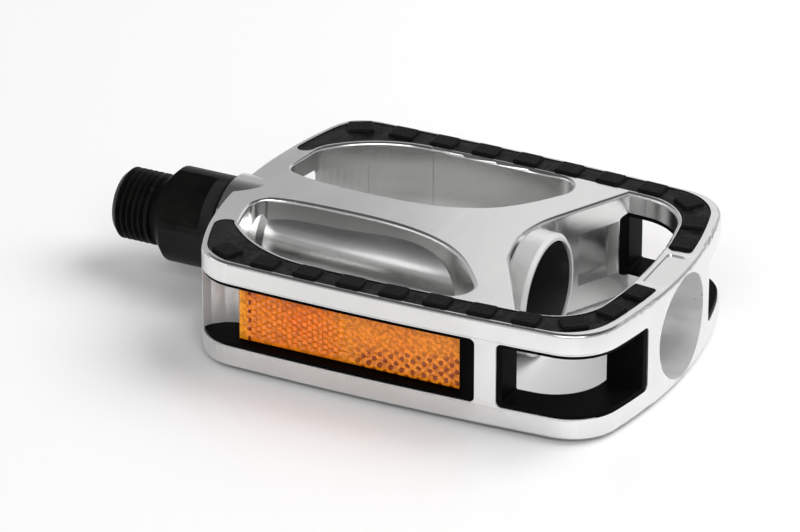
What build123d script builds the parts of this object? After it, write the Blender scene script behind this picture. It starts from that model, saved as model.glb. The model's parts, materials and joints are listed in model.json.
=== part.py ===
# Flat city pedal for a bicycle: a cast cage with rubber treads and side reflectors, on a steel spindle.
#
# Frame, in millimetres: +X runs along the spindle from the crank out to the free end of the pedal,
# +Y across the pedal, +Z up through the top tread.  The origin is on the spindle's axis, at the shoulder
# that meets the crank.  The pedal is the same seen from above or below, and mirrored across its spindle,
# apart from the wrench flats.
import os
from math import atan2, cos, degrees, hypot, pi, radians, sin

from build123d import *

# ---- driving dimensions -------------------------------------------------------------------------------
# cage, in plan
CAGE_END_X = 109.2  # middle of the outboard end
CAGE_END_R = 96.0  # the outboard end bows out
CAGE_HUB_X = 15.4  # middle of the inboard end
CAGE_HUB_R = 70.0
CAGE_HALF_WIDTH = 33.8  # at the widest place
CAGE_WIDEST_X = 52.0
CAGE_SIDE_R = 700.0  # the long sides bow out a little
END_CORNER_R = 10.5
HUB_CORNER_R = 9.5
# cage, in section
PLATE_TOP_Z = 11.1  # outer faces of the two plates
PLATE_IN_Z = 6.75  # inner faces of the two plates
PLATE_EDGE_R = 0.7
SLOPE_X = 24.5  # the plates' outer faces slope in from here to the hub
HUB_SLOPE = 0.16
WINDOW_CORNER_R = 1.2  # corners of the side openings, seen from the side
POST_X = (80.9, 85.2)  # the post between the reflector and the corner window
END_BLOCK_HALF_Y = 14.5  # the solid block round the end bore
END_BORE_R = 10.4
# rubber treads
TREAD_INSETS = dict(end=1.9, side=0.9, hub=1.1)  # outer edge, from the cage's outline
TREAD_INNER_INSETS = dict(end=6.8, side=6.0, hub=5.2)
TREAD_INNER_CORNER_R = 11.5
TREAD_END_Y = 7.8  # where a tread stops at the outboard end
TREAD_HUB_Y = 16.2  # where it stops at the inboard end
TREAD_FLOOR_Z = 8.4
TREAD_TOP_Z = 10.9
TREAD_TIP_R = 1.8  # corners of its inboard end
LUG_TOP_Z = 11.65
LUG_HEIGHT = 1.6  # from its foot, inside the strip
LUG_LENGTH = 5.1
LUG_WIDTH = 4.3
LUG_PITCH = 8.95
LUG_COUNT = 11
LUG_FIRST = 3.2  # from the tread's outboard end to the first lug's middle
# openings through the cage
OPENING_INSETS = dict(end=7.6, side=6.8, hub=6.0)
OPENING_CORNER_R = 10.7
PANEL = (3.7, 12.6, 0.3, 0.8)  # between the treads' outboard ends: size in X and Y, depth, corner radius
CORNER_SWEEP = (44.0, 0.7, 27.0)  # inner edge of the tread round the inboard corner: centre and radius
RIM_WIDTH = 0.9  # between the tread and an opening
VEE_TIP_X = 71.9  # the cross arms' outboard edge is a vee with a round tip
VEE_SLOPE = 0.55
VEE_TIP_R = 22.0
WAIST = (
    (80.5, 27.4), (72.3, 17.0), (66.5, 10.8), (58.5, 6.7),
    (47.0, 4.8), (36.0, 4.8), (27.0, 5.6), (21.0, 7.8),
)
WINDOW_HUB_X = 21.0
ARM_RECESS = (2.2, 15.5, 24.0, 5.6)  # in a cross arm's outboard face: depth, start and end Y, half height
CORNER_RECESS = (1.4, 21.0, 31.6, 6.2)  # in a window's corner wall: depth, start and end X, half height
# beside the hub, between the plates
HUB_OPENING = ((5.0, 12.0), (25.0, 12.0), (23.1, 17.0), (18.7, 26.2), (5.0, 26.2))
# the cage's wall behind the reflector, from its straight part round the inboard corner
POCKET_WALL = (
    (38.0, 28.2), (31.0, 26.4), (27.4, 25.3), (25.3, 26.2),
    (23.2, 28.0), (21.9, 30.6), (19.0, 36.4),
)
# barrel, the housing of the spindle
HUB_FACE_X = 13.8
HUB_R = 10.5
HUB_END_X = 23.4
WAIST_R = 8.7
WAIST_X = 42.0
SWELL_R = 10.9
SWELL_X = 66.0
BOSS_X = 75.6
BOSS_FACE_X = 81.2
BOSS_R = 12.1
BARREL_BORE_R = 6.4
# dust cap
CAP_R = 10.75
CAP_FACE_X = 80.8
CAP_DOME = 0.35
CAP_SEAT_X = 79.6
CAP_SKIRT_R = 9.5
# ball bearings
BALL_R = 3.175 / 2  # 1/8 inch
BALL_COUNT = 12
PITCH_R = 6.6
RACE_R = BALL_R + 0.05
CUP_R = 9.0
INNER_BEARING_X = 18.0
OUTER_BEARING_X = 68.0
CUP_NEAR = 2.0  # from the balls' plane to the cup's open side
CUP_FAR = 2.6
# spindle
THREAD_R = 14.288 / 2  # 9/16 inch
THREAD_PITCH = 25.4 / 20
THREAD_DEPTH = 0.613 * THREAD_PITCH
THREAD_TURNS = 5
CREST = 0.25
TIP_X = -9.9
NECK_X = (-1.5, -0.35)  # undercut next to the shoulder
NECK_R = 6.4
COLLAR_R = 9.5
COLLAR_END_X = 13.3
COLLAR_CHAMFER = 2.0
FLAT_GAP = 15.0  # across the wrench flats
FLAT_LENGTH = 10.6
FLAT_TURN = 37.0  # the flats' turn about the spindle
SHAFT_R = PITCH_R - RACE_R
STUD_R = 4.0  # threaded end for the cone and the lock nut
STUD_X = 65.5
SPINDLE_END_X = 79.1
CONE_SHOULDER_X = OUTER_BEARING_X + RACE_R + 1.2
CONE_END_X = 74.0
WASHER_THICK = 1.0
NUT_THICK = 3.9
# side reflector
LENS_X = (30.7, 77.6)
LENS_HALF_Z = 5.9
LENS_FRONT_Y = 31.3
LENS_THICK = 1.6
BACKING_THICK = 0.8
LIP = 0.8  # thickness of the plastic lining
JAMB = 1.2
CLIP_X = 33.6
CLIP_Y = (25.7, 28.9)
CLIP_WIDTH = 1.8
CLIP_HALF_Z = 4.0

FAR = 60.0  # beyond the cage on every side
PLAY = 0.02


# ---- plan shapes --------------------------------------------------------------------------------------
def outline(end=0.0, side=0.0, hub=0.0, end_corner=END_CORNER_R, hub_corner=HUB_CORNER_R):
    """The cage's plan, moved inwards by its own amount on each side: four shallow arcs, round corners."""
    shape = Pos(CAGE_END_X - CAGE_END_R, 0) * Circle(CAGE_END_R - end)
    shape &= Pos(CAGE_HUB_X + CAGE_HUB_R, 0) * Circle(CAGE_HUB_R - hub)
    for way in (1, -1):
        shape &= Pos(CAGE_WIDEST_X, way * (CAGE_HALF_WIDTH - CAGE_SIDE_R)) * Circle(CAGE_SIDE_R - side)
    by_x = shape.vertices().sort_by(Axis.X)
    shape = fillet(by_x[-2:], end_corner)
    by_x = shape.vertices().sort_by(Axis.X)
    return fillet(by_x[:2], hub_corner)


def beyond_sweep(shift):
    """What lies outside the sweep round the inboard corner, with the sweep moved towards the spindle."""
    x, y, r = CORNER_SWEEP
    return area(x - FAR, x, y, y + FAR) - Pos(x, y) * Circle(r - shift)


def area(x0, x1, y0, y1):
    """A rectangle in plan."""
    return Pos((x0 + x1) / 2, (y0 + y1) / 2) * Rectangle(x1 - x0, y1 - y0)


def tread_plan(outer, inner, trim=0.0):
    """One tread seen from above, from the outboard end along a side and into the inboard corner."""
    inside = outline(**inner, end_corner=TREAD_INNER_CORNER_R) - beyond_sweep(0)
    band = outline(**outer) - inside
    band &= area(CAGE_HUB_X, CAGE_END_X, 0, FAR)
    outboard = area(CAGE_WIDEST_X, CAGE_END_X, TREAD_END_Y + trim, FAR)
    inboard = area(CAGE_HUB_X, CAGE_WIDEST_X, TREAD_HUB_Y + trim, FAR)
    band = band & (outboard + inboard)
    ends = band.vertices().sort_by(Axis.Y)
    band = fillet(ends[:2], 1.0)
    ends = [v for v in band.vertices() if v.X < 30 and v.Y < TREAD_HUB_Y + trim + 0.1]
    return fillet(ends, TREAD_TIP_R)


def window_plan():
    """One of the two openings beside the barrel."""
    side_y = CAGE_HALF_WIDTH + 5
    edge = Spline(*WAIST)
    rest = Polyline(WAIST[-1], (WINDOW_HUB_X, side_y), (WAIST[0][0], side_y), WAIST[0])
    blob = make_face(edge + rest)
    blob = blob & outline(**OPENING_INSETS, end_corner=OPENING_CORNER_R)
    blob -= beyond_sweep(RIM_WIDTH)
    blob = fillet(blob.vertices().sort_by(Axis.X)[-1], 4.2)
    return fillet(blob.vertices().sort_by(Axis.X)[:2], 3.4)


def vee_plan(shift=0.0):
    """Everything outboard of the cross arms' edge, with the edge moved along X."""
    reach = 45.0
    tip = VEE_TIP_X + shift
    side = tip + VEE_SLOPE * reach
    far = side + 80
    edge = Polyline((tip, 0), (side, reach), (far, reach), (far, -reach), (side, -reach), close=True)
    shape = make_face(edge)
    return fillet(shape.vertices().sort_by(Axis.X)[0], VEE_TIP_R)


def end_opening_plan():
    """The D-shaped opening between the cross arms and the outboard end."""
    shape = outline(**OPENING_INSETS, end_corner=OPENING_CORNER_R) & vee_plan()
    return fillet(shape.vertices().sort_by(Axis.X)[:2], 3.0)


def pocket_plan():
    """The space between the plates outside the side wall, where the reflector sits."""
    post = [(POST_X[0], FAR), (POST_X[0], POCKET_WALL[0][1])]
    shape = make_face(Polyline(*post, *POCKET_WALL, (POCKET_WALL[-1][0], FAR), close=True))
    return fillet([v for v in shape.vertices() if 24 < v.X < 60], 1.2)


def bar(plane, lows, highs, radius):
    """A long bar across a plane, with a rounded rectangle for its section."""
    middle = Pos((lows[0] + highs[0]) / 2, (lows[1] + highs[1]) / 2)
    section = middle * RectangleRounded(highs[0] - lows[0], highs[1] - lows[1], radius)
    return extrude(plane * section, 3 * FAR, both=True)


def pocket_solid():
    """The reflector's pocket, with round corners at the post."""
    block = bar(Plane.XZ, (-FAR, -PLATE_IN_Z), (POST_X[0], PLATE_IN_Z), WINDOW_CORNER_R)
    return between(pocket_plan(), -PLATE_IN_Z, PLATE_IN_Z) & block


def corner_window(shrink_plan=0.0, shrink_z=0.0):
    """The opening round the outboard corner, or a smaller one inside it."""
    half_z = PLATE_IN_Z - shrink_z
    radius = max(WINDOW_CORNER_R - shrink_z, 0.3)
    across = bar(Plane.XZ, (POST_X[1] + shrink_plan, -half_z), (CAGE_END_X + FAR, half_z), radius)
    along = bar(Plane.YZ, (END_BLOCK_HALF_Y + shrink_plan, -half_z), (2 * FAR, half_z), radius)
    return across & along


def both_sides(shape):
    """The shape and its mirror image across the spindle."""
    return [shape, mirror(shape, about=Plane.XZ)]


# ---- cage ---------------------------------------------------------------------------------------------
def barrel_solid():
    """The round housing of the spindle: hub, a step down to the waist, and the outboard boss."""
    hub = Polyline(
        (HUB_FACE_X, 0), (HUB_FACE_X, HUB_R - 0.5), (HUB_FACE_X + 0.5, HUB_R), (HUB_END_X, HUB_R),
        (HUB_END_X + 1.0, WAIST_R + 0.3),
    )
    stations = [(HUB_END_X + 1.0, WAIST_R + 0.3), (WAIST_X, WAIST_R), (SWELL_X, SWELL_R)]
    waist = Spline(*stations, tangents=[(1, -0.03), (1, 0)])
    boss = Polyline(
        (SWELL_X, SWELL_R), (BOSS_X, SWELL_R), (BOSS_X + 0.6, BOSS_R - 0.3), (BOSS_X + 1.1, BOSS_R),
        (BOSS_FACE_X - 0.7, BOSS_R), (BOSS_FACE_X, BOSS_R - 0.7), (BOSS_FACE_X, 0), (HUB_FACE_X, 0),
    )
    profile = make_face(hub + waist + boss)
    return revolve(Plane.XY * profile, Axis.X)


def barrel_bores():
    """The seats of the cups, the cap and the seal, and the clearance bore between them."""
    inner_seat_end = INNER_BEARING_X + CUP_FAR
    outer_seat_start = OUTER_BEARING_X - CUP_FAR
    stages = [
        (HUB_FACE_X - 1, inner_seat_end, CUP_R),
        (inner_seat_end - 1, outer_seat_start + 1, BARREL_BORE_R),
        (outer_seat_start, BOSS_FACE_X + 1, CUP_R),
        (OUTER_BEARING_X + CUP_NEAR, BOSS_FACE_X + 1, CAP_SKIRT_R),
        (CAP_SEAT_X, BOSS_FACE_X + 1, CAP_R),
    ]
    return [along_x(x0, x1, r) for x0, x1, r in stages]


def along_x(x0, x1, r):
    """A cylinder on the spindle's axis."""
    rod = Cylinder(r, x1 - x0, align=(Align.CENTER, Align.CENTER, Align.MIN))
    return Plane((x0, 0, 0), z_dir=(1, 0, 0)) * rod


def between(plan, z0, z1):
    """A prism on a plan shape."""
    return extrude(Pos(0, 0, z0) * plan, z1 - z0)


def ceiling(x, lift=0.0):
    """Height of the plates' outer face at x."""
    return PLATE_TOP_Z + lift - HUB_SLOPE * max(0.0, SLOPE_X - x)


def slab_section(lift=0.0):
    """All that lies between the plates' outer faces: flat, then sloping in towards the hub."""
    x0, x1 = CAGE_HUB_X - 10, CAGE_END_X + 10
    top = [(x0, ceiling(x0, lift)), (SLOPE_X, ceiling(SLOPE_X, lift)), (x1, ceiling(x1, lift))]
    face = make_face(Polyline(*top, *[(x, -z) for x, z in reversed(top)], close=True))
    return extrude(Plane.XZ * face, FAR, both=True)


def sloped(slab, radius, lift=0.0):
    """The flat slab with rounded rims, and with its outer faces sloped in towards the hub."""
    level = [e for e in slab.edges() if abs(abs((e @ 0.5).Z) - ceiling(FAR, lift)) < 1e-6]
    slab = fillet(level, radius) & slab_section(lift)
    rims = []
    for edge in slab.edges():
        middle, way = edge @ 0.5, edge % 0.5
        on_slope = middle.X < SLOPE_X - 0.1 and abs(abs(middle.Z) - ceiling(middle.X, lift)) < 0.01
        if on_slope and abs(way.Z) < 0.5:
            rims.append(edge)
    return fillet(rims, radius * 0.7)


def cage():
    """The one-piece casting: two plates, the walls between them, and the barrel."""
    plan = outline() - end_opening_plan()
    for window in both_sides(window_plan()):
        plan -= window
    body = sloped(between(plan, -PLATE_TOP_Z, PLATE_TOP_Z), PLATE_EDGE_R)
    hub_opening = between(make_face(Polyline(*HUB_OPENING, close=True)), -PLATE_IN_Z, PLATE_IN_Z)
    for cut in (pocket_solid(), corner_window(), hub_opening):
        for shape in both_sides(cut):
            body -= shape
    depth, start_y, end_y, half_z = ARM_RECESS
    recess = (vee_plan(-depth) - vee_plan(1)) & area(70, POST_X[1], start_y, end_y)
    recesses = both_sides(between(recess, -half_z, half_z))
    depth, start_x, end_x, half_z = CORNER_RECESS
    recess = beyond_sweep(RIM_WIDTH + 0.6) - beyond_sweep(RIM_WIDTH - depth)
    recess &= area(start_x, end_x, END_BLOCK_HALF_Y, FAR)
    recesses += both_sides(between(recess, -half_z, half_z))
    for shape in recesses:
        body -= shape
    strip = tread_plan(TREAD_INSETS, TREAD_INNER_INSETS)
    for channel in both_sides(between(strip, TREAD_FLOOR_Z, PLATE_TOP_Z + 1)):
        body -= channel
        body -= mirror(channel, about=Plane.XY)
    panel = between(panel_plan(), PLATE_TOP_Z - PANEL[2], PLATE_TOP_Z + 1)
    body -= panel
    body -= mirror(panel, about=Plane.XY)
    body += barrel_solid()
    for bore in barrel_bores():
        body -= bore
    body -= along_x(CAGE_END_X - 12, CAGE_END_X + 5, END_BORE_R)
    for slot in both_sides(clip_box(CLIP_WIDTH + 2 * PLAY, CLIP_HALF_Z + PLAY)):
        body -= slot
    return body


def panel_plan():
    """The shallow panel between the two treads' outboard ends."""
    middle_x = CAGE_END_X - (TREAD_INSETS["end"] + TREAD_INNER_INSETS["end"]) / 2
    return Pos(middle_x, 0) * RectangleRounded(PANEL[0], PANEL[1], PANEL[3])


def clip_box(width, half_z):
    """The slot, or the tongue in it, that holds the reflector's housing in the cage wall."""
    y0, y1 = CLIP_Y
    return Pos(CLIP_X, (y0 + y1) / 2, 0) * Box(width, y1 - y0, 2 * half_z)


# ---- treads -------------------------------------------------------------------------------------------
def tread():
    """One rubber tread: a strip in the plate's channel, with raised lugs along it."""
    lift = TREAD_TOP_Z - PLATE_TOP_Z
    plan = tread_plan(TREAD_INSETS, TREAD_INNER_INSETS)
    strip = sloped(between(plan, TREAD_FLOOR_Z, TREAD_TOP_Z), 0.35, lift)
    lug = Box(LUG_LENGTH, LUG_WIDTH, LUG_HEIGHT, align=(Align.CENTER, Align.CENTER, Align.MAX))
    lug = fillet(lug.edges().filter_by(Axis.Z), 0.6)
    lug = fillet(lug.faces().sort_by(Axis.Z)[-1].edges(), 0.4)
    for place in lug_places():
        strip += place * lug
    return strip


def lug_places():
    """Where the lugs stand: evenly along the strip's middle, from its outboard end to the hub corner."""
    middle = {k: (TREAD_INSETS[k] + TREAD_INNER_INSETS[k]) / 2 for k in TREAD_INSETS}
    ring = outline(**middle, end_corner=END_CORNER_R).wire()
    places = []
    length = ring.length
    start = nearest_length(ring, (CAGE_END_X - middle["end"], TREAD_END_Y))
    way = 1 if (ring @ ((start + 5) / length)).Y > TREAD_END_Y else -1
    for i in range(LUG_COUNT):
        at = ((start + way * (LUG_FIRST + i * LUG_PITCH)) / length) % 1.0
        point, along = ring @ at, ring % at
        turn = degrees(atan2(along.Y, along.X))
        tilt = degrees(atan2(HUB_SLOPE, 1)) if point.X < SLOPE_X else 0.0
        top = ceiling(point.X, LUG_TOP_Z - PLATE_TOP_Z)
        places.append(Pos(point.X, point.Y, top) * Rot(0, -tilt, 0) * Rot(0, 0, turn))
    return places


def nearest_length(wire, target, steps=720):
    """How far along the wire it comes nearest to a point in plan."""
    def gap(i):
        p = wire @ (i / steps)
        return hypot(p.X - target[0], p.Y - target[1])

    return min(range(steps), key=gap) / steps * wire.length


# ---- reflectors and linings ---------------------------------------------------------------------------
def reflector_housing():
    """The plastic tray in the side pocket: lips on the plates, a jamb at the post and a back plate."""
    plan = pocket_plan() & outline(end=0.3, side=0.3, hub=0.3)
    body = between(plan, PLATE_IN_Z - LIP, PLATE_IN_Z)
    body += between(plan, -PLATE_IN_Z, LIP - PLATE_IN_Z)
    body += between(plan & area(LENS_X[1] + 0.2, POST_X[0], 0, FAR), -PLATE_IN_Z, PLATE_IN_Z)
    back_y = LENS_FRONT_Y - LENS_THICK - BACKING_THICK
    body += between(area(LENS_X[0] - 0.2, POST_X[0], POCKET_WALL[0][1], back_y), -PLATE_IN_Z, PLATE_IN_Z)
    return (body & pocket_solid()) + clip_box(CLIP_WIDTH, CLIP_HALF_Z)


def slab(x0, x1, y0, y1, half_z, corner=0.6):
    """A flat bar standing on edge, with its four corners rounded."""
    bar = Pos((x0 + x1) / 2, (y0 + y1) / 2, 0) * Box(x1 - x0, y1 - y0, 2 * half_z)
    return fillet(bar.edges().filter_by(Axis.Y), corner)


def reflector_backing():
    """The plate welded to the lens's back."""
    y1 = LENS_FRONT_Y - LENS_THICK
    return slab(*LENS_X, y1 - BACKING_THICK, y1, LENS_HALF_Z)


def reflector_lens():
    """The amber lens, with a bevel round its front."""
    body = slab(*LENS_X, LENS_FRONT_Y - LENS_THICK, LENS_FRONT_Y, LENS_HALF_Z)
    return chamfer(body.faces().sort_by(Axis.Y)[-1].edges(), 0.3)


def corner_liner():
    """The plastic frame that lines the window round the outboard corner."""
    plan = outline(end=0.3, side=0.3) - end_opening_plan()
    body = between(plan, -PLATE_IN_Z, PLATE_IN_Z) & corner_window()
    return body - corner_window(JAMB, LIP)


# ---- spindle and bearings -----------------------------------------------------------------------------
def turned(*curves):
    """A solid of revolution about the spindle's axis, from its half profile in XY."""
    profile = curves[0]
    for curve in curves[1:]:
        profile = profile + curve
    return revolve(make_face(profile), Axis.X)


def race_arc(x, towards_crank, outer):
    """The quarter circle in which a race touches its balls, from a ball's side to its top or bottom."""
    way = -1 if towards_crank else 1
    lift = 1 if outer else -1
    middle = (x + way * RACE_R * cos(radians(45)), PITCH_R + lift * RACE_R * sin(radians(45)))
    return ThreePointArc((x + way * RACE_R, PITCH_R), middle, (x, PITCH_R + lift * RACE_R))


def spindle():
    """Crank thread, collar with wrench flats, inboard cone, tapered shaft and threaded stud, in steel."""
    points = [(TIP_X, 0), (TIP_X, THREAD_R - 1.1), (TIP_X + 1.1, THREAD_R)]
    x = TIP_X + 1.1
    for _ in range(THREAD_TURNS):
        points += [
            (x + CREST, THREAD_R),
            (x + THREAD_PITCH / 2, THREAD_R - THREAD_DEPTH),
            (x + THREAD_PITCH / 2 + CREST, THREAD_R - THREAD_DEPTH),
            (x + THREAD_PITCH, THREAD_R),
        ]
        x += THREAD_PITCH
    points += [
        (NECK_X[0] - 0.3, THREAD_R),
        (NECK_X[0], NECK_R),
        (NECK_X[1], NECK_R),
        (NECK_X[1], THREAD_R),
        (0, THREAD_R),
        (0, COLLAR_R - COLLAR_CHAMFER),
        (COLLAR_CHAMFER, COLLAR_R),
        (COLLAR_END_X - 0.3, COLLAR_R),
        (COLLAR_END_X, COLLAR_R - 0.3),
        (COLLAR_END_X, PITCH_R),
        (INNER_BEARING_X - RACE_R, PITCH_R),
    ]
    shaft = Polyline(
        (INNER_BEARING_X, SHAFT_R),
        (INNER_BEARING_X + 6, SHAFT_R),
        (STUD_X - 2, SHAFT_R - 0.3),
        (STUD_X, STUD_R),
        (SPINDLE_END_X - 0.6, STUD_R),
        (SPINDLE_END_X, STUD_R - 0.6),
        (SPINDLE_END_X, 0),
        (TIP_X, 0),
    )
    cone = race_arc(INNER_BEARING_X, towards_crank=True, outer=False)
    body = turned(Polyline(*points), cone, shaft)
    flat_depth = COLLAR_R - FLAT_GAP / 2
    for way in (1, -1):
        corner = (Align.MIN, Align.CENTER, Align.MIN)
        block = Box(FLAT_LENGTH + 1, 2 * COLLAR_R, flat_depth + 1, align=corner)
        block = Pos(-1, 0, FLAT_GAP / 2) * block
        if way < 0:
            block = mirror(block, about=Plane.XY)
        body -= Rot(FLAT_TURN, 0, 0) * block
    centre = Cone(1.6, 0.2, 2.4, align=(Align.CENTER, Align.CENTER, Align.MIN))
    centre = Plane((TIP_X, 0, 0), z_dir=(1, 0, 0)) * centre
    keyway = Pos(74.0, 0, STUD_R - 0.5) * Box(12.2, 1.8, 1.2)
    return body - centre - keyway


def cup(x, towards_crank):
    """A pressed bearing cup.  towards_crank says which side its balls go in from."""
    way = 1 if towards_crank else -1
    arc = race_arc(x, towards_crank=not towards_crank, outer=True)
    rest = Polyline(
        (x, PITCH_R + RACE_R),
        (x - way * CUP_NEAR, PITCH_R + RACE_R),
        (x - way * CUP_NEAR, CUP_R),
        (x + way * CUP_FAR, CUP_R),
        (x + way * CUP_FAR, PITCH_R),
        (x + way * RACE_R, PITCH_R),
    )
    return turned(arc, rest)


def balls(x):
    """A full ring of loose balls."""
    ring = []
    for i in range(BALL_COUNT):
        turn = 2 * pi * i / BALL_COUNT
        ring.append(Pos(x, PITCH_R * cos(turn), PITCH_R * sin(turn)) * Sphere(BALL_R))
    return Compound(ring)


def hexagon(x0, x1, across, bore_r):
    """A hexagonal bar on the spindle's axis with a round hole, its corners taken off at one end."""
    plane = Plane((x0, 0, 0), z_dir=(1, 0, 0))
    body = plane * extrude(RegularPolygon(across / 2, 6, major_radius=False), x1 - x0)
    corner_r = across / 2 / cos(radians(30))
    bevel = turned(
        Polyline(
            (x0, 0), (x0, corner_r + 1), (x1 - 0.9, corner_r + 1), (x1 - 0.6, corner_r),
            (x1, across / 2), (x1, 0), (x0, 0),
        )
    )
    return (body & bevel) - along_x(x0 - 1, x1 + 1, bore_r)


def outboard_cone():
    """The adjustable cone: a race with a hexagon behind it."""
    bore = STUD_R + PLAY
    race = turned(
        Polyline(
            (OUTER_BEARING_X + RACE_R, PITCH_R), (CONE_SHOULDER_X, PITCH_R), (CONE_SHOULDER_X, bore),
            (STUD_X + 0.4, bore), (STUD_X + 0.4, SHAFT_R), (OUTER_BEARING_X, SHAFT_R),
        ),
        race_arc(OUTER_BEARING_X, towards_crank=False, outer=False),
    )
    return race + hexagon(CONE_SHOULDER_X - 0.2, CONE_END_X, 11.0, bore)


def lock_washer():
    """The washer whose key sits in the stud's keyway."""
    ring = along_x(CONE_END_X, CONE_END_X + WASHER_THICK, 6.6)
    ring -= along_x(CONE_END_X - 1, CONE_END_X + 3, STUD_R + PLAY)
    key = Pos(CONE_END_X + WASHER_THICK / 2, 0, STUD_R - 0.1) * Box(WASHER_THICK, 1.7, 1.4)
    return ring + (key - along_x(CONE_END_X - 1, CONE_END_X + 3, STUD_R - 0.7))


def lock_nut():
    """The nut that locks the cone."""
    start = CONE_END_X + WASHER_THICK
    return hexagon(start, start + NUT_THICK, 12.0, STUD_R + PLAY)


def dust_cap():
    """The black plug in the barrel's end: a low dome, with a skirt behind it."""
    edge_r = CAP_R - 0.4
    dome = ThreePointArc(
        (CAP_FACE_X + CAP_DOME, 0), (CAP_FACE_X + CAP_DOME * 3 / 4, edge_r / 2), (CAP_FACE_X, edge_r)
    )
    rest = Polyline(
        (CAP_FACE_X, edge_r),
        (CAP_FACE_X - 0.4, CAP_R),
        (CAP_SEAT_X, CAP_R),
        (CAP_SEAT_X, CAP_SKIRT_R),
        (CAP_SEAT_X - 4.0, CAP_SKIRT_R),
        (CAP_SEAT_X - 4.0, CAP_SKIRT_R - 0.9),
        (CAP_SEAT_X, CAP_SKIRT_R - 0.9),
        (CAP_SEAT_X, 0),
        (CAP_FACE_X + CAP_DOME, 0),
    )
    return turned(dome, rest)


def dust_seal():
    """The rubber ring pressed in the hub at the crank side, with a lip that runs close to the spindle."""
    body = along_x(HUB_FACE_X + 0.1, INNER_BEARING_X - CUP_NEAR, CUP_R)
    body -= along_x(HUB_FACE_X + 0.5, INNER_BEARING_X - CUP_NEAR + 1, CUP_R - 1.1)
    return body - along_x(HUB_FACE_X - 1, INNER_BEARING_X, PITCH_R + 0.1)


# ---- write every node ---------------------------------------------------------------------------------
def nodes():
    """Every separate piece by name."""
    found = {
        "cage_body": cage(),
        "spindle": spindle(),
        "inboard_bearing_cup": cup(INNER_BEARING_X, towards_crank=True),
        "outboard_bearing_cup": cup(OUTER_BEARING_X, towards_crank=False),
        "inboard_balls": balls(INNER_BEARING_X),
        "outboard_balls": balls(OUTER_BEARING_X),
        "outboard_cone": outboard_cone(),
        "lock_washer": lock_washer(),
        "lock_nut": lock_nut(),
        "dust_cap": dust_cap(),
        "dust_seal": dust_seal(),
    }
    for name, shape in (
        ("reflector_housing", reflector_housing()),
        ("reflector_backing", reflector_backing()),
        ("reflector_lens", reflector_lens()),
        ("corner_liner", corner_liner()),
    ):
        rear, front = both_sides(shape)
        found["front_" + name] = front
        found["rear_" + name] = rear
    rear, front = both_sides(tread())
    for side, shape in (("front", front), ("rear", rear)):
        found["top_" + side + "_tread"] = shape
        found["bottom_" + side + "_tread"] = mirror(shape, about=Plane.XY)
    return found


os.makedirs("parts", exist_ok=True)
for node, solid in nodes().items():
    export_step(solid, "parts/" + node + ".step")
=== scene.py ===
import json
import math

import bmesh
import bpy
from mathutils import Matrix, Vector

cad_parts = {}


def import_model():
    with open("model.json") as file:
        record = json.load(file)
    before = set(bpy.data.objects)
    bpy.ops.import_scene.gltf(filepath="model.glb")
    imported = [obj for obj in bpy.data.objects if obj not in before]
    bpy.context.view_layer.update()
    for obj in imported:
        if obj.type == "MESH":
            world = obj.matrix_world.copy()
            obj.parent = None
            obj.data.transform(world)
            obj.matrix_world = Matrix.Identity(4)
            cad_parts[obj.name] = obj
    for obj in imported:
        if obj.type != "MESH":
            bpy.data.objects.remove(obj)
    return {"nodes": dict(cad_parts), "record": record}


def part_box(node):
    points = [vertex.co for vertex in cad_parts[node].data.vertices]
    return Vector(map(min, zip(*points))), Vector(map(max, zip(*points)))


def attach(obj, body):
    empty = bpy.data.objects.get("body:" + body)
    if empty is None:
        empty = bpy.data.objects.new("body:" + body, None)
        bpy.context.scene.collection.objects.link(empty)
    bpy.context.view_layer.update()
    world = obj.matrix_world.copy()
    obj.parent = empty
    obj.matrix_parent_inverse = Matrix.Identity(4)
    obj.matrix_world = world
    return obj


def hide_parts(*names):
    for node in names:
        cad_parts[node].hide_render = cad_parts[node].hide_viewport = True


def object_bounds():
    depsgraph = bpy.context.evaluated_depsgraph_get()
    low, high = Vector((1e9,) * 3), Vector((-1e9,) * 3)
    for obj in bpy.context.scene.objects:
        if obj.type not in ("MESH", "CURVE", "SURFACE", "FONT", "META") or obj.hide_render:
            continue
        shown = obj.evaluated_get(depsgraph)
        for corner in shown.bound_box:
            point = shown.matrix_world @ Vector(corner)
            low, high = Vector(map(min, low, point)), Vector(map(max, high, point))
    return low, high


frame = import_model()
CAD_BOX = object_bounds()
NODES = frame["nodes"]
MM = 0.001

# Where the cage changes from bright to matt.
PLATE_IN_Z = 6.9 * MM  # just past the plates' inner faces
SWEEP_X = 44.0 * MM  # inboard of here, the pockets' walls are beyond SWEEP_R from this point
SWEEP_R = 28.4 * MM  # outboard of SWEEP_X, they are beyond this distance from the axis in Y
BOSS_X = 75.6 * MM  # start of the matt boss
BOSS_R = 12.3 * MM
END_BLOCK_X = 95.0 * MM  # start of the block with the end bore
END_BORE_R = 10.6 * MM

LUG_Z = 11.3 * MM  # top of the treads' lugs, from the mid-plane
LENS_X = (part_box("front_reflector_lens")[0].x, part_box("front_reflector_lens")[1].x)
ZONE_X = 52.5 * MM  # the reflectors' prisms face the other way beyond here
CHECK_PITCH = 2.3 * MM  # of the dark checks in the lens's outboard zone
DOT_PITCH = 1.9 * MM  # of the dots along the lens's inboard end
DOT_ROW_X = LENS_X[0] + 2.3 * MM
# the dark amber painted in as shade in the prisms' cells and as the lens's reflected checks
AMBER_SHADE = (0.19, 0.018, 0.002, 1.0)
LENS_DEEP, LENS_LIGHT = (0.95, 0.19, 0.008, 1.0), (1.0, 0.38, 0.016, 1.0)
BACKING_DEEP, BACKING_LIGHT = (0.62, 0.20, 0.02, 1.0), (0.75, 0.30, 0.03, 1.0)
MIX_FACTOR, MIX_A, MIX_B, MIX_RESULT = 0, 6, 7, 2  # sockets of a Mix node that mixes colours


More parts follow.
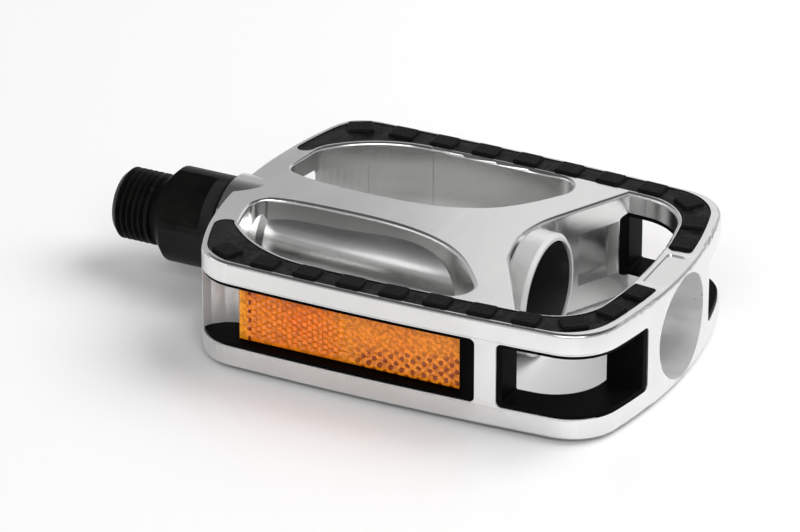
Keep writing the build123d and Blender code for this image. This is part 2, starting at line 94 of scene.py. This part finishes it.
# ---- helpers for materials -------------------------------------------------------------------
class Shader:
    """A node material under construction, on one Principled shader."""

    def __init__(self, name, **constants):
        self.material = bpy.data.materials.new(name)
        self.material.use_nodes = True
        self.tree = self.material.node_tree
        self.bsdf = self.tree.nodes["Principled BSDF"]
        self.coords = self.tree.nodes.new("ShaderNodeTexCoord").outputs["Object"]
        for socket, value in constants.items():
            self.bsdf.inputs[socket.replace("_", " ")].default_value = value

    def feed(self, made, inputs):
        """Link or set a node's inputs: pairs of a name or number and an output or a value."""
        for key, value in inputs:
            if isinstance(value, bpy.types.NodeSocket):
                self.tree.links.new(value, made.inputs[key])
            else:
                made.inputs[key].default_value = value

    def node(self, kind, inputs=None, **settings):
        made = self.tree.nodes.new("ShaderNode" + kind)
        for key, value in settings.items():
            setattr(made, key, value)
        self.feed(made, (inputs or {}).items())
        return made

    def link(self, output, socket):
        self.tree.links.new(output, self.bsdf.inputs[socket])

    def stretched(self, scale):
        return self.node("Mapping", {"Vector": self.coords, "Scale": scale}).outputs["Vector"]

    def noise(self, per_metre, detail=3.0, roughness=0.5, stretch=None):
        vector = self.stretched(stretch) if stretch else self.coords
        inputs = {"Vector": vector, "Scale": per_metre, "Detail": detail, "Roughness": roughness}
        return self.node("TexNoise", inputs).outputs["Fac"]

    def spread(self, fac, low, high, to_low=0.0, to_high=1.0):
        """Map low..high to to_low..to_high, and clamp."""
        inputs = {"Value": fac, "From Min": low, "From Max": high, "To Min": to_low, "To Max": to_high}
        return self.node("MapRange", inputs).outputs["Result"]

    def blend(self, fac, a, b):
        made = self.node("Mix", data_type="RGBA")
        self.feed(made, ((MIX_FACTOR, fac), (MIX_A, a), (MIX_B, b)))
        return made.outputs[MIX_RESULT]

    def math(self, operation, a, b=0.0, clamp=False):
        made = self.node("Math", operation=operation, use_clamp=clamp)
        self.feed(made, enumerate((a, b)))
        return made.outputs["Value"]

    def times(self, a, b):
        return self.math("MULTIPLY", a, b)

    def plus(self, a, b, clamp=False):
        return self.math("ADD", a, b, clamp)

    def minus(self, a, b):
        return self.math("SUBTRACT", a, b)

    def larger(self, a, b):
        return self.math("MAXIMUM", a, b)

    def length(self, a, b):
        return self.math("SQRT", self.plus(self.times(a, a), self.times(b, b)))

    def place(self):
        """The object's own X, Y and Z."""
        return self.node("SeparateXYZ", {"Vector": self.coords}).outputs

    def bump(self, height, distance, strength, below=None):
        inputs = {"Height": height, "Distance": distance, "Strength": strength}
        if below is not None:
            inputs["Normal"] = below
        return self.node("Bump", inputs).outputs["Normal"]

    def wave(self, along, pitch):
        """0 to 1 and back in every pitch."""
        turns = self.times(along, 2.0 * math.pi / pitch)
        return self.spread(self.math("SINE", turns), -1.0, 1.0)

    def band(self, along, middle, half):
        """1 in a band about the middle, 0 outside it."""
        off = self.math("ABSOLUTE", self.minus(along, middle))
        return self.spread(off, half * 0.6, half * 1.4, 1.0, 0.0)

    def edges(self, low, high):
        """1 on outer edges, whose pointiness is high, and 0 elsewhere."""
        pointiness = self.node("NewGeometry").outputs["Pointiness"]
        return self.spread(pointiness, low, high)


def grey(value, tint=(1.0, 1.0, 1.0)):
    return (value * tint[0], value * tint[1], value * tint[2], 1.0)


def matt_zones(s):
    """1 on the cage's matt parts: the walls between the plates, the boss and, less so, the end bore."""
    place = s.place()
    x = place["X"]
    y, z = (s.math("ABSOLUTE", place[axis]) for axis in "YZ")
    inboard = s.math("MINIMUM", s.minus(x, SWEEP_X), 0.0)
    between_plates = s.spread(z, PLATE_IN_Z, PLATE_IN_Z + 0.2 * MM, 1.0, 0.0)
    pocket = s.times(s.spread(s.length(inboard, y), SWEEP_R, SWEEP_R + 0.3 * MM), between_plates)
    end_block = (x, END_BLOCK_X, END_BLOCK_X + 1.0 * MM)
    reach = s.spread(*end_block, BOSS_R, END_BORE_R)
    inside = s.spread(s.minus(reach, s.length(y, z)), 0.0, 0.1 * MM)
    boss = s.times(s.spread(x, BOSS_X, BOSS_X + 0.6 * MM), inside)
    return s.larger(pocket, s.times(boss, s.spread(*end_block, 1.0, 0.6)))


def cast_aluminium():
    """Tumbled, polished and lacquered casting, left matt between the plates and round the boss."""
    s = Shader("cage_bright_alloy", IOR=1.5, Coat_Weight=0.10, Coat_Roughness=0.12)
    matt = matt_zones(s)
    s.link(s.spread(matt, 0.0, 1.0, 1.0, 0.40), "Metallic")
    cloud = s.noise(70.0)
    grain = s.noise(2400.0, detail=2.0)
    dull, clean = grey(0.72, (1.0, 1.0, 0.985)), grey(0.78, (1.0, 1.0, 0.99))
    # lighter edges: partly wear, partly a painted highlight where the fillets catch the light
    edge_wear_and_highlight = s.edges(0.53, 0.60)
    colour = s.blend(edge_wear_and_highlight, s.blend(s.spread(cloud, 0.3, 0.7), dull, clean), grey(0.84))
    s.link(colour, "Base Color")
    rough = s.plus(s.spread(cloud, 0.3, 0.7, 0.15, 0.22), s.times(matt, 0.13))
    rough = s.plus(rough, s.times(edge_wear_and_highlight, 0.04))
    s.link(s.plus(rough, s.spread(grain, 0.4, 0.8, 0.0, 0.03)), "Roughness")
    as_cast = s.bump(s.times(s.noise(260.0, roughness=0.6), matt), 0.30 * MM, 0.6)
    peel = s.bump(s.noise(420.0, detail=2.0), 0.04 * MM, 0.25, as_cast)
    s.link(s.bump(grain, 0.004 * MM, 0.3, peel), "Normal")
    return s.material


def black_oxide():
    """Oiled black oxide on turned steel, thin on the edges."""
    s = Shader("spindle_black_oxide", Metallic=0.1, IOR=1.45, Specular_IOR_Level=0.09)
    turning = s.noise(400.0, 2.0, 0.6, stretch=(16.0, 1.0, 1.0))
    cloud = s.noise(160.0)
    colour = s.blend(s.spread(cloud, 0.35, 0.7), grey(0.004), grey(0.009, (1.0, 1.0, 0.9)))
    colour = s.blend(s.edges(0.55, 0.65), colour, grey(0.05))
    s.link(colour, "Base Color")
    s.link(s.spread(turning, 0.3, 0.7, 0.34, 0.50), "Roughness")
    s.link(s.bump(turning, 0.03 * MM, 0.35), "Normal")
    return s.material


def ground_steel(name, base, rough, streak):
    """Ground or plated steel, greased, with turning marks narrowed along X by the streak."""
    s = Shader(name, Metallic=1.0, IOR=1.5)
    turning = s.noise(500.0, 2.0, 0.6, stretch=(streak, 1.0, 1.0))
    film = s.noise(220.0, roughness=0.6)
    colour = s.blend(s.spread(film, 0.4, 0.65), grey(base), grey(base * 0.8, (1.0, 0.96, 0.86)))
    s.link(colour, "Base Color")
    s.link(s.spread(turning, 0.3, 0.7, rough * 0.8, rough * 1.3), "Roughness")
    s.link(s.bump(turning, 0.02 * MM, 0.3), "Normal")
    return s.material


def rubber(name, base, grain_per_metre, lug_height=None):
    """Moulded rubber with a fine grain and pale speckles, which fade out at the lug height."""
    s = Shader(name, IOR=1.45, Specular_IOR_Level=0.10)
    grain = s.noise(grain_per_metre, roughness=0.65)
    pale_speckle = s.spread(s.noise(420.0, 4.0, 0.7), 0.36, 0.66)
    if lug_height is not None:
        height = s.math("ABSOLUTE", s.place()["Z"])
        pale_speckle = s.times(pale_speckle, s.spread(height, lug_height - 0.3 * MM, lug_height, 1.0, 0.0))
    colour = s.blend(pale_speckle, grey(base), grey(base * 5.0, (1.0, 1.0, 0.94)))
    # lighter on the edges: a painted sheen
    colour = s.blend(s.edges(0.54, 0.62), colour, grey(base * 3.0))
    s.link(colour, "Base Color")
    s.link(s.spread(grain, 0.3, 0.7, 0.40, 0.60), "Roughness")
    s.link(s.bump(grain, 0.10 * MM, 0.7), "Normal")
    return s.material


def moulded_plastic(name, base, rough, texture):
    """Black injection moulding with a fine spark-eroded texture of the given strength."""
    s = Shader(name, IOR=1.4, Specular_IOR_Level=0.025)
    flow = s.noise(60.0, detail=2.0, stretch=(0.4, 1.0, 1.0))
    colour = s.blend(s.spread(flow, 0.35, 0.65), grey(base), grey(base * 1.5))
    colour = s.blend(s.edges(0.53, 0.6), colour, grey(base * 3.0))
    s.link(colour, "Base Color")
    s.link(s.spread(flow, 0.3, 0.7, rough * 0.85, rough * 1.15), "Roughness")
    s.link(s.bump(s.noise(3200.0, detail=2.0), 0.03 * MM, texture), "Normal")
    return s.material


def lens_lightness(s, cloud):
    """The lens's lightness: a light end strip, a deep inboard zone and a lighter outboard zone, where
    the brighter light of the outboard prisms is painted in.
    """
    x = s.place()["X"]
    # painted light: the outboard zone is lighter as its prisms, facing the other way, return more light
    step = s.spread(x, ZONE_X - 2.0 * MM, ZONE_X + 2.0 * MM, 0.0, 0.36)
    strip = s.spread(x, LENS_X[0] + 1.6 * MM, LENS_X[0] + 1.9 * MM, 0.6, 0.0)
    return s.plus(s.times(cloud, 0.4), s.plus(step, strip), clamp=True)


def lens_reflections_and_dots(s):
    """1 where the lens is darkened: checks low in its outboard part, a painted reflection of the dark
    lip below, and dots at its inboard end.
    """
    place = s.place()
    x, z = place["X"], place["Z"]
    checks = s.times(s.wave(s.plus(x, z), CHECK_PITCH), s.wave(s.minus(x, z), CHECK_PITCH))
    height = s.plus(z, s.times(s.minus(x, ZONE_X), -0.16))  # the checks reach higher further outboard
    lower = s.spread(height, -4.0 * MM, -0.5 * MM, 1.0, 0.0)
    outboard = s.spread(x, ZONE_X, ZONE_X + 4.0 * MM)
    checks = s.times(s.times(s.spread(checks, 0.24, 0.36), s.times(outboard, lower)), 0.85)
    dots = s.times(s.band(x, DOT_ROW_X, 0.3 * MM), s.spread(s.wave(z, DOT_PITCH), 0.45, 0.65))
    return s.larger(checks, dots)


def amber(name, deep, light, rough, is_lens=False):
    """Amber plastic, mottled at random and with painted shade in the prisms' cells.  The lens adds
    painted zones of light, painted reflected checks and a row of dots.
    """
    s = Shader(name, IOR=1.45, Specular_IOR_Level=0.35, Coat_Weight=0.2, Coat_Roughness=0.1)
    cloud = s.spread(s.noise(110.0, detail=2.0), 0.35, 0.68)
    cells = s.spread(s.noise(1100.0, detail=1.0), 0.42, 0.60)
    # the dark mottle of the prisms' cells is painted shade
    dark = s.times(cells, 0.38)
    if is_lens:
        cloud = lens_lightness(s, cloud)
        dark = s.larger(dark, lens_reflections_and_dots(s))
    s.link(s.blend(dark, s.blend(cloud, deep, light), AMBER_SHADE), "Base Color")
    s.link(s.spread(cells, 0.0, 1.0, rough * 0.8, rough * 1.3), "Roughness")
    s.link(s.bump(cells, 0.04 * MM, 0.3), "Normal")
    return s.material


def floor_material():
    """Pale painted board with a slight unevenness of colour."""
    s = Shader("studio_floor", Roughness=0.35, IOR=1.45, Specular_IOR_Level=0.3)
    s.link(s.blend(s.noise(6.0), grey(0.94), grey(0.965)), "Base Color")
    return s.material


# ---- materials on the CAD nodes --------------------------------------------------------------
FINISH = {
    "cage_metal": cast_aluminium(),
    "spindle_steel": black_oxide(),
    "bearing_steel": ground_steel("bearing_ground_steel", 0.42, 0.22, 20.0),
    "ball_steel": ground_steel("ball_polished_steel", 0.70, 0.10, 1.0),
    "zinc_steel": ground_steel("zinc_plated_steel", 0.58, 0.32, 8.0),
    "cap_plastic": moulded_plastic("cap_black_plastic", 0.0011, 0.34, 0.3),
    "seal_rubber": rubber("seal_black_rubber", 0.010, 2600.0),
    "tread_rubber": rubber("tread_black_rubber", 0.0045, 1700.0, lug_height=LUG_Z),
    "frame_plastic": moulded_plastic("reflector_frame_plastic", 0.0014, 0.42, 0.5),
    "amber_backing": amber("backing_amber", BACKING_DEEP, BACKING_LIGHT, 0.35),
    "amber_lens": amber("lens_amber", LENS_DEEP, LENS_LIGHT, 0.14, is_lens=True),
}
SMOOTH_ANGLE = math.radians(41)
FLAT_AREA = 12.0 * MM * MM


def paint_nodes():
    """Give each CAD node the finish of its material slot."""
    for sub in frame["record"]["subparts"]:
        node = NODES[sub["node"]]
        node.data.materials.clear()
        node.data.materials.append(FINISH[sub["material_slot"]])


def flat_faces(mesh):
    """For each face, its plane if the faces in that plane are large together, else None."""
    planes, areas = [], {}
    for face in mesh.polygons:
        n = face.normal
        plane = (round(n.x, 4), round(n.y, 4), round(n.z, 4), round(n.dot(face.center) / MM, 2))
        planes.append(plane)
        areas[plane] = areas.get(plane, 0.0) + face.area
    return [plane if areas[plane] > FLAT_AREA else None for plane in planes]


def smooth(mesh):
    """Smooth shading on rounded faces, with crisp borders round the large flat ones."""
    mesh.shade_smooth()
    mesh.set_sharp_from_angle(angle=SMOOTH_ANGLE)
    planes = flat_faces(mesh)
    seen = {}
    for face in mesh.polygons:
        for loop in face.loop_indices:
            seen.setdefault(mesh.loops[loop].edge_index, []).append(planes[face.index])
    for index, pair in seen.items():
        if len(pair) == 2 and pair[0] != pair[1]:
            mesh.edges[index].use_edge_sharp = True


paint_nodes()
for cad_node in NODES.values():
    smooth(cad_node.data)


# ---- prism lenses ----------------------------------------------------------------------------
LATTICE = 0.72 * MM  # between neighbouring corners of the prisms
PRISM_DEPTH = 0.46 * MM
LENS_RIM = 0.8 * MM
LENS_BEVEL = 0.3 * MM
ON_EDGE = 0.0001 * MM  # vertices this near a side of the field are on it


def prism_rows(x0, x1, z0, z1):
    """Rows of (x, z, depth): a triangular lattice whose three depths make cube corners."""
    columns = round((x1 - x0) / LATTICE)
    rows = round((z1 - z0) / (LATTICE * math.sin(math.radians(60))))
    made = []
    for j in range(rows + 1):
        z = z0 + (z1 - z0) * j / rows
        shift = 0.5 if j % 2 else 0.0
        row = [(x0, z, 0.0)]
        for i in range(columns + 1):
            x = x0 + (x1 - x0) * (i + shift) / columns
            if x0 + LATTICE / 4 < x < x1 - LATTICE / 4:
                level = (i - j // 2 + 2 * j) % 3 / 2
                if x > ZONE_X:
                    level = 1.0 - level
                edge = j in (0, rows)
                row.append((x, z, 0.0 if edge else PRISM_DEPTH * level))
        made.append(row + [(x1, z, 0.0)])
    return made


def join_rows(mesh, lower, upper):
    """Triangles between two rows of vertices, taken from left to right."""
    i = j = 0
    while i < len(lower) - 1 or j < len(upper) - 1:
        upper_done = j == len(upper) - 1
        if upper_done or (i < len(lower) - 1 and lower[i + 1].co.x <= upper[j + 1].co.x):
            mesh.faces.new((lower[i], lower[i + 1], upper[j]))
            i += 1
        else:
            mesh.faces.new((lower[i], upper[j + 1], upper[j]))
            j += 1


def pushed_out(value, low, high, by):
    """A coordinate moved outwards if it is on the low or the high side."""
    return value + (by if value >= high - ON_EDGE else -by if value <= low + ON_EDGE else 0.0)


def prism_lens(node_name, material):
    """An amber lens: a field of cube-corner prisms in a smooth bevelled rim."""
    low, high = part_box(node_name)
    front = -1 if low.y < 0 else 1
    face_y, back_y = (low.y, high.y) if front < 0 else (high.y, low.y)
    mesh = bmesh.new()
    x0, x1 = low.x + LENS_RIM, high.x - LENS_RIM
    z0, z1 = low.z + LENS_RIM, high.z - LENS_RIM
    grid = []
    for row in prism_rows(x0, x1, z0, z1):
        grid.append([mesh.verts.new((x, face_y - front * depth, z)) for x, z, depth in row])
    for lower, upper in zip(grid, grid[1:]):
        join_rows(mesh, lower, upper)
    right = [row[-1] for row in grid[1:]]
    left = [row[0] for row in grid[-2:0:-1]]
    border = grid[0] + right + grid[-1][-2::-1] + left
    flat = LENS_RIM - LENS_BEVEL
    bevel_y = face_y - front * LENS_BEVEL
    loops = [border]
    for grow, y in ((flat, face_y), (LENS_RIM, bevel_y), (LENS_RIM, back_y)):
        loop = []
        for v in border:
            x, z = pushed_out(v.co.x, x0, x1, grow), pushed_out(v.co.z, z0, z1, grow)
            loop.append(mesh.verts.new((x, y, z)))
        loops.append(loop)
    for inner, outer in zip(loops, loops[1:]):
        for k in range(len(inner)):
            n = (k + 1) % len(inner)
            mesh.faces.new((inner[k], inner[n], outer[n], outer[k]))
    mesh.faces.new(loops[-1])
    bmesh.ops.recalc_face_normals(mesh, faces=mesh.faces)
    data = bpy.data.meshes.new(node_name + "_prisms")
    mesh.to_mesh(data)
    mesh.free()
    data.materials.append(material)
    piece = bpy.data.objects.new(node_name + "_prisms", data)
    bpy.context.scene.collection.objects.link(piece)
    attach(piece, "platform")
    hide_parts(node_name)


for lens in ("front_reflector_lens", "rear_reflector_lens"):
    prism_lens(lens, FINISH["amber_lens"])


# ---- studio ----------------------------------------------------------------------------------
FLOOR_Z = Vector(CAD_BOX[0]).z
FLOOR_REACH = 3.0
CENTRE = Vector((0.0497, 0.0, -0.0008))
CAMERA_PLACE = (0.4878, -0.9151, 0.5362)
CAMERA_LENS = 268.0  # mm on a sensor 36 mm wide
# Name, place, size, watts and whether it shows in mirror reflections.
SOFTBOXES = (
    ("key_softbox", (0.75, 0.55, 1.1), (1.2, 1.0), 17.0, False),
    ("fill_softbox", (-1.3, -0.95, 0.45), (1.4, 0.8), 2.2, True),
    ("front_softbox", (0.55, -1.25, 1.2), (1.5, 1.0), 13.0, True),
    ("back_card", (0.0, 0.49, 0.30), (0.34, 0.30), 0.14, True),
)
# The world's brightness by height: 0 is straight down, 0.5 the horizon and 1 straight up.
WORLD_BOTTOM = (0.62, 0.62, 0.63, 1.0)
WORLD_LEVELS = ((0.25, 0.44), (0.47, 0.50), (0.60, 0.22), (0.82, 0.08))
WORLD_TOP = (0.10, 0.10, 0.10, 1.0)
WORLD_STRENGTH = 1.15


def floor():
    """A wide square at the pedal's lowest point."""
    data = bpy.data.meshes.new("floor")
    sides = (-FLOOR_REACH, FLOOR_REACH)
    corners = [(x, y, FLOOR_Z) for x in sides for y in sides]
    data.from_pydata(corners, [], [(0, 2, 3, 1)])
    data.materials.append(floor_material())
    piece = bpy.data.objects.new("floor", data)
    bpy.context.scene.collection.objects.link(piece)


def aim(obj, target):
    obj.rotation_euler = (Vector(target) - obj.location).to_track_quat("-Z", "Y").to_euler()


def softbox(name, place, size, watts, in_reflections):
    """A rectangular area light turned to the pedal."""
    data = bpy.data.lights.new(name, "AREA")
    data.shape = "RECTANGLE"
    data.size, data.size_y = size
    data.energy = watts
    lamp = bpy.data.objects.new(name, data)
    lamp.location = place
    bpy.context.scene.collection.objects.link(lamp)
    lamp.visible_glossy = in_reflections
    aim(lamp, CENTRE)


def world():
    """A pale studio, brightest in a band above the horizon, with a darker ceiling."""
    made = bpy.data.worlds.new("studio_world")
    made.use_nodes = True
    tree = made.node_tree
    direction = tree.nodes.new("ShaderNodeTexCoord").outputs["Generated"]
    split = tree.nodes.new("ShaderNodeSeparateXYZ")
    ramp = tree.nodes.new("ShaderNodeValToRGB")
    tree.links.new(direction, split.inputs[0])
    tree.links.new(split.outputs["Z"], ramp.inputs[0])
    stops = ramp.color_ramp.elements
    stops[0].position, stops[0].color = 0.0, WORLD_BOTTOM
    stops[1].position, stops[1].color = 1.0, WORLD_TOP
    for position, level in WORLD_LEVELS:
        stop = stops.new(position)
        stop.color = (level, level, level * 1.01, 1.0)
    background = tree.nodes["Background"]
    tree.links.new(ramp.outputs["Color"], background.inputs["Color"])
    background.inputs["Strength"].default_value = WORLD_STRENGTH
    bpy.context.scene.world = made


def camera():
    """A long lens, high before the pedal's outboard side and turned to the pedal."""
    data = bpy.data.cameras.new("camera")
    data.sensor_width = 36.0
    data.lens = CAMERA_LENS
    data.clip_start = 0.05
    data.clip_end = 20.0
    shot = bpy.data.objects.new("camera", data)
    shot.location = CAMERA_PLACE
    bpy.context.scene.collection.objects.link(shot)
    aim(shot, CENTRE)
    bpy.context.scene.camera = shot


floor()
for box in SOFTBOXES:
    softbox(*box)
world()
camera()
bpy.context.scene.view_settings.view_transform = "Standard"
